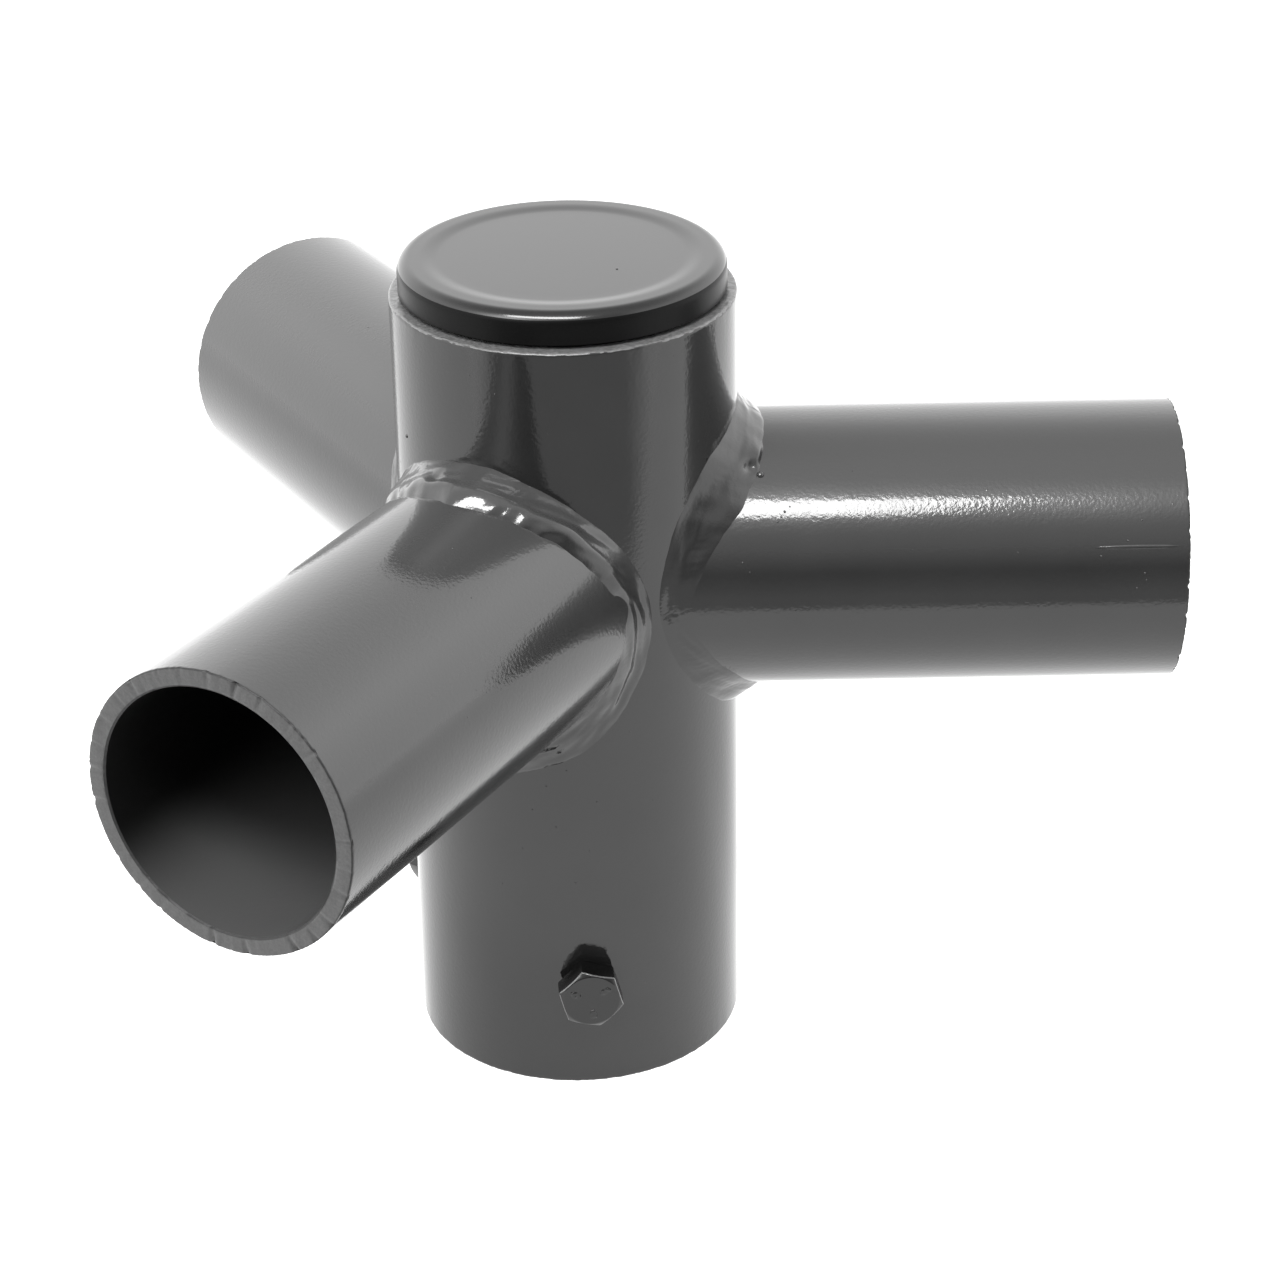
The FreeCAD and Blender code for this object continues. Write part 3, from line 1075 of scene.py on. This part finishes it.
@dataclass
class Studio:
    """Pale floor, soft dome of light with a dimmer front, and one soft lamp high in front."""

    floor_albedo: str = "#a0a0a0"
    floor_glow: Pair = (1.15, 1.6)
    floor_reach: Pair = (0.35, 1.4)
    floor_half: float = 1.6
    floor_front: float = -0.2
    floor_fade: float = 0.04
    wall_levels: tuple[Pair, ...] = (
        (-180, 2.6), (-150, 2.3), (-132, 0.92), (-48, 0.92), (-30, 2.2), (-15, 2.4), (25, 2.7),
        (60, 2.1), (90, 2.0), (135, 2.5), (180, 2.6),
    )
    brightest: float = 4.0
    front_shade: float = 0.62
    front_band: Pair = (-0.55, -0.85)
    level_band: float = 1 / 2.8
    roof_level: float = 0.85
    roof_band: Pair = (0.42, 0.97)
    roof_glow: Glow = Glow(-90.0, 74.0, 10.0, 0.5)
    glows: tuple[Glow, ...] = (Glow(-97.0, 55.5, 45.0, 5.0), Glow(-130.0, 33.0, 25.0, 8.0))
    lamp_direction: Pair = (-106.0, 55.5)
    lamp_distance: float = 1.1
    lamp_size: Pair = (0.76, 0.26)
    lamp_radiance: float = 22.0

    def floor(self) -> None:
        """Lay a large pale floor whose front edge fades out just past the object."""
        bm = bmesh.new()
        bmesh.ops.create_grid(bm, x_segments=1, y_segments=1, size=self.floor_half)
        edge = self.floor_front - self.floor_fade
        bmesh.ops.translate(bm, verts=bm.verts, vec=(0, self.floor_half + edge, 0))
        material, tree, place = blank_material("pale_floor")
        axes = add_node(tree, "ShaderNodeSeparateXYZ", {"Vector": place})
        shown = add_node(
            tree, "ShaderNodeMapRange",
            {"Value": axes.outputs["Y"], "From Min": edge, "From Max": self.floor_front,
             "To Min": 0.0, "To Max": 1.0},
            interpolation_type="SMOOTHSTEP",
        )
        # Far off, the floor sweeps up into the tent and grows as bright as its walls
        away = add_node(tree, "ShaderNodeVectorMath", {0: place}, operation="LENGTH")
        glow = add_node(
            tree, "ShaderNodeMapRange",
            {"Value": away,
             "From Min": self.floor_reach[0], "From Max": self.floor_reach[1],
             "To Min": self.floor_glow[0], "To Max": self.floor_glow[1]},
            interpolation_type="SMOOTHSTEP",
        )
        pale = add_node(
            tree, "ShaderNodeBsdfPrincipled",
            {"Base Color": linear(self.floor_albedo), "Roughness": 1.0, "Specular IOR Level": 0.0,
             "Emission Color": linear("#ffffff"), "Emission Strength": glow},
        )
        clear = add_node(tree, "ShaderNodeBsdfTransparent", {})
        mixed = add_node(tree, "ShaderNodeMixShader", {0: shown, 1: clear, 2: pale})
        add_node(tree, "ShaderNodeOutputMaterial", {"Surface": mixed})
        mesh = mesh_from(bm, "floor")
        mesh.materials.append(material)
        floor = placed("floor", mesh)

    @staticmethod
    def direction(azimuth: float, elevation: float) -> Vector:
        """Unit vector towards an azimuth and an elevation in degrees."""
        level = outward(azimuth) * math.cos(math.radians(elevation))
        return level + Vector((0, 0, math.sin(math.radians(elevation))))

    def glowing(self, tree: NodeTree, towards: NodeSocket, glow: Glow, under: object) -> Node:
        """Add a patch of light to the light that lies under it.

        Args:
            tree: The world's node tree.
            towards: The direction that is looked in.
            glow: The patch.
            under: The light without it.

        Returns:
            The light with it.
        """
        light = add_node(
            tree, "ShaderNodeVectorMath",
            {0: towards, 1: self.direction(glow.azimuth, glow.elevation)}, operation="DOT_PRODUCT",
        )
        for operation, *values in (
            ("MAXIMUM", 0.0), ("POWER", glow.tightness), ("MULTIPLY_ADD", glow.strength, under)
        ):
            inputs = dict(enumerate((light, *values)))
            light = add_node(tree, "ShaderNodeMath", inputs, operation=operation)
        return light

    def dome(self) -> None:
        """Surround the object with soft light: bright sides and back, and a dimmer front."""
        world = bpy.data.worlds.new("light_tent")
        bpy.context.scene.world = world
        world.use_nodes = True
        tree = world.node_tree
        tree.nodes.clear()
        towards = add_node(tree, "ShaderNodeTexCoord", {}).outputs["Generated"]
        axes = add_node(tree, "ShaderNodeSeparateXYZ", {"Vector": towards}).outputs
        bearing = add_node(
            tree, "ShaderNodeMath", {0: axes["Y"], 1: axes["X"]}, operation="ARCTAN2"
        )
        share = add_node(
            tree, "ShaderNodeMath", {0: bearing, 1: 1.0 / math.tau, 2: 0.5},
            operation="MULTIPLY_ADD",
        )
        ring = add_node(tree, "ShaderNodeValToRGB", {"Fac": share})
        elements = ring.color_ramp.elements
        elements[0].position, elements[1].position = 0.0, 1.0
        for azimuth, _ in self.wall_levels[1:-1]:
            elements.new(azimuth / 360.0 + 0.5)
        for element, (_, level) in zip(elements, self.wall_levels):
            element.color = (level / self.brightest,) * 3 + (1.0,)

        # In front, the walls are shaded near the level of the eye
        steepness = add_node(tree, "ShaderNodeMath", {0: axes["Z"]}, operation="ABSOLUTE")
        near_level, front, height = (
            add_node(
                tree, "ShaderNodeMapRange",
                {"Value": value, "From Min": low, "From Max": high, "To Min": at_low,
                 "To Max": at_high},
                interpolation_type=course,
            )
            for value, (low, high), at_low, at_high, course in (
                (steepness, (0.0, self.level_band), 1.0, 0.0, "LINEAR"),
                (axes["Y"], self.front_band, 0.0, -self.front_shade * self.brightest, "LINEAR"),
                (axes["Z"], self.roof_band, 0.0, 1.0, "SMOOTHSTEP"),
            )
        )
        strength = add_node(
            tree, "ShaderNodeMath",
            {0: front, 1: near_level, 2: self.brightest},
            operation="MULTIPLY_ADD",
        )
        wall = add_node(tree, "ShaderNodeMath", {0: ring, 1: strength}, operation="MULTIPLY")
        roof = self.glowing(tree, towards, self.roof_glow, self.roof_level)
        light = add_node(tree, "ShaderNodeMix", {"Factor": height, "A": wall, "B": roof})
        for glow in self.glows:
            light = self.glowing(tree, towards, glow, light)
        backdrop = add_node(
            tree, "ShaderNodeBackground", {"Color": linear("#ffffff"), "Strength": light}
        )
        add_node(tree, "ShaderNodeOutputWorld", {"Surface": backdrop})

    def lamp(self) -> None:
        """Hang the soft lamp high in front, aimed at the arms' height."""
        data = bpy.data.lights.new("soft_lamp", "AREA")
        data.shape = "RECTANGLE"
        data.size, data.size_y = self.lamp_size
        data.energy = math.pi * self.lamp_size[0] * self.lamp_size[1] * self.lamp_radiance
        lamp = placed("soft_lamp", data)
        aim = self.direction(*self.lamp_direction)
        lamp.location = Vector((0, 0, ARM_HEIGHT)) + aim * self.lamp_distance
        lamp.rotation_euler = aim.to_track_quat("Z", "Y").to_euler()

    def build(self) -> None:
        """Set up the floor and the lights."""
        self.floor()
        self.dome()
        self.lamp()
        bpy.context.scene.view_settings.view_transform = "Standard"


@dataclass(frozen=True)
class Viewpoint:
    """The photograph's camera, in metres and degrees."""

    place: tuple[float, float, float] = (0.01115, -0.64339, 0.42531)
    yaw: float = 0.346
    pitch: float = -27.377
    roll: float = -0.890
    lens_mm: float = 92.238
    sensor_mm: float = 36.0

    def build(self) -> None:
        """Add the camera and make it the scene's own."""
        data = bpy.data.cameras.new("camera")
        data.lens, data.sensor_width = self.lens_mm, self.sensor_mm
        camera = placed("camera", data)
        turn = (
            Matrix.Rotation(math.radians(-self.yaw), 4, "Z")
            @ Matrix.Rotation(math.radians(90.0 + self.pitch), 4, "X")
            @ Matrix.Rotation(math.radians(self.roll), 4, "Z")
        )
        camera.matrix_world = Matrix.Translation(self.place) @ turn
        bpy.context.scene.camera = camera


SLEEVE_NIBS = (
    (-155, 149, 0.4), (-85, 60, 0.22), (-101, 92, 0.2), (-70, 88, 0.18),
    (-95, 158, 0.16), (-112, 166, 0.15), (-62, 70, 0.17), (-96, 66, 0.22),
    (-104, 70, 0.2), (-90, 52, 0.25), (-108, 60, 0.18), (-82, 72, 0.2),
    (-99, 76, 0.24), (-92, 80, 0.2), (-116, 50, 0.18), (-66, 24, 0.2),
    (-40, 135, 0.2), (-38, 130, 0.24), (-43, 126, 0.22), (-50, 133, 0.2),
    (40, 60, 0.25), (150, 160, 0.2), (95, 62, 0.22), (170, 50, 0.2),
)
ARM_NIBS = {
    "right": (
        (-52, 45.5, 0.3), (-54, 44.8, 0.24), (-50, 46.6, 0.2), (-56, 44, 0.22),
        (-72, 36.5, 0.22), (-76, 38, 0.18), (-35, 60, 0.14), (-58, 120, 0.2),
        (-66, 117, 0.24), (-68, 72, 0.15), (-70, 94, 0.16), (-68.6, 119, 0.45, 19),
        (-72, 111.4, 0.25), (-79.2, 120.6, 0.22), (-85.4, 119.1, 0.2), (-82, 121, 0.16),
        (-36, 40.7, 0.8),
    ),
    "front": ((40, 70, 0.16), (20, 62, 0.18), (75, 88, 0.15)),
    "back": ((20, 74, 0.16), (-60, 90, 0.2)),
}
PLUG_NIB = Nib(Vector((0.01143, -0.0091, 0.18288)), Vector((0, 0, 1)), 0.28)


def builders(finishes: Finishes) -> list[Callable[[], Object]]:
    """List the build method of every sub-assembly, in order.

    Args:
        finishes: The adapter's materials.

    Returns:
        Methods that each make one piece.
    """
    nibs = [on_sleeve(*speck) for speck in SLEEVE_NIBS] + [PLUG_NIB]
    nibs += [on_arm(arm, *speck) for arm, specks in ARM_NIBS.items() for speck in specks]
    made: list[Callable[[], Object]] = [Sleeve(finishes).build]
    made += [
        ArmPipe(finishes, name, seed).build for seed, name in enumerate(ARM_AZIMUTHS, start=3)
    ]
    made += [
        WeldBead(
            finishes, "right",
            sleeve_legs_mm=(5.2, 6, 4, 5, 5, 3.6, 2, 6.2),
            arm_legs_mm=(5.5, 6, 5.6, 6, 6, 6.5, 5.7, 8.6),
            rolls_mm=(0.3, 0.2, 0.2, 0.2, 0.1, 0.1, 0.1, 0.3),
            lumps=(
                Lump(-28, 0.93, 2.2, 0.9), Lump(-34, 0.8, 1.3, -0.8), Lump(-55, 0.3, 3.5, -0.4),
                Lump(-160, 0.5, 4, 0.5),
            ),
            seed=1.7, swell_rise=mm(0.3), streak_rise=mm(0.16),
        ).build,
        WeldBead(
            finishes, "front",
            sleeve_legs_mm=(4, 2.3, 1.8, 6.6, 7.4, 6, 4, 4),
            arm_legs_mm=(11.2, 9.6, 8.8, 4.4, 6, 7, 6, 9),
            rolls_mm=(1.7, 1.9, 0.5, 0.1, 0.1, 0.1, 0.3, 0.8),
            lumps=(
                Lump(-12, 0.5, 1.6, -0.7), Lump(40, 0.7, 3.5, 0.4), Lump(80, 0.88, 3, -0.9),
                Lump(125, 0.5, 4, 0.4),
            ),
            seed=4.3,
        ).build,
        WeldBead(
            finishes, "back",
            sleeve_legs_mm=(5.2, 4.5, 4, 6, 6.8, 6, 4.2, 4.6),
            arm_legs_mm=(8.6, 7, 5.6, 6, 7.2, 6.5, 5.6, 7.5),
            rolls_mm=(0.6, 0.4, 0.2, 0.1, 0.1, 0.2, 0.3, 0.5),
            lumps=(Lump(30, 0.4, 3, -0.5), Lump(-100, 0.5, 3.5, 0.5)),
            seed=8.9,
        ).build,
        EndPlug(finishes).build,
        Spatter(finishes, tuple(nibs)).build,
    ]
    made += [
        SetScrew(finishes, index, azimuth, turn).build
        for index, (azimuth, turn) in enumerate(SCREWS, start=1)
    ]
    return made


def main() -> None:
    """Set up the camera, then build every piece and the studio."""
    logging.basicConfig(level=logging.INFO, format="%(name)s: %(message)s")
    Viewpoint().build()
    finishes = Finishes.build()
    for build in builders(finishes):
        build()
    Studio().build()


if __name__ == "__main__":
    main()
